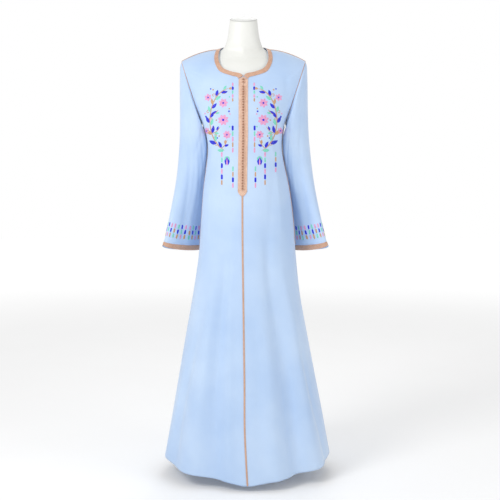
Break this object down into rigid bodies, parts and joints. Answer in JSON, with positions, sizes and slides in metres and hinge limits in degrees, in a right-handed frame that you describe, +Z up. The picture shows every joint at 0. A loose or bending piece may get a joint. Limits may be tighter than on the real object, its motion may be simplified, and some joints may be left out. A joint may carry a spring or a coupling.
{
  "type": "kaftan dress on a dress form",
  "caption": "Long flared kaftan with bell sleeves, braided neck and placket, standing on a limbless dress form with a round base.",
  "frame": {"origin": "on the floor, under the middle of the stand's round base", "axes": "+Z up through the form's neck; the dress faces -Y; +X is towards the sleeve at the viewer's right from the front"},
  "size_m": [0.5811, 0.4823, 1.5766],
  "materials": {
    "cloth": "smooth light blue crepe with a soft sheen",
    "braid": "copper coloured woven braid with a thread sheen",
    "knots": "tightly worked copper thread knots",
    "form": "smooth satin off-white shell",
    "form_cap": "smooth satin light grey cap",
    "steel": "satin steel tube and plate"
  },
  "bodies": {
    "root": {"front_left": "cloth", "front_right": "cloth", "back": "cloth", "sleeve_left": "cloth", "sleeve_right": "cloth", "cuff_braid_left": "braid", "cuff_braid_right": "braid", "neck_braid_left": "braid", "placket_braid_left": "braid", "neck_braid_right": "braid", "placket_braid_right": "braid", "placket_tip": "braid", "centre_braid": "braid", "knot_01": "knots", "knot_02": "knots", "knot_03": "knots", "knot_04": "knots", "knot_05": "knots", "knot_06": "knots", "knot_07": "knots", "knot_08": "knots", "knot_09": "knots", "knot_10": "knots", "knot_11": "knots", "knot_12": "knots", "knot_13": "knots", "knot_14": "knots", "knot_15": "knots", "knot_16": "knots", "knot_17": "knots", "knot_18": "knots", "knot_19": "knots", "knot_20": "knots", "knot_21": "knots", "knot_22": "knots", "knot_23": "knots", "knot_24": "knots", "knot_25": "knots", "knot_26": "knots", "knot_27": "knots", "knot_28": "knots", "knot_29": "knots", "knot_30": "knots", "knot_31": "knots", "knot_32": "knots", "knot_33": "knots", "knot_34": "knots", "knot_35": "knots", "knot_36": "knots", "knot_37": "knots", "knot_38": "knots", "knot_39": "knots", "knot_40": "knots", "form_torso": "form", "form_cap": "form_cap", "form_pole": "steel", "form_base": "steel"}
  },
  "joints": []
}
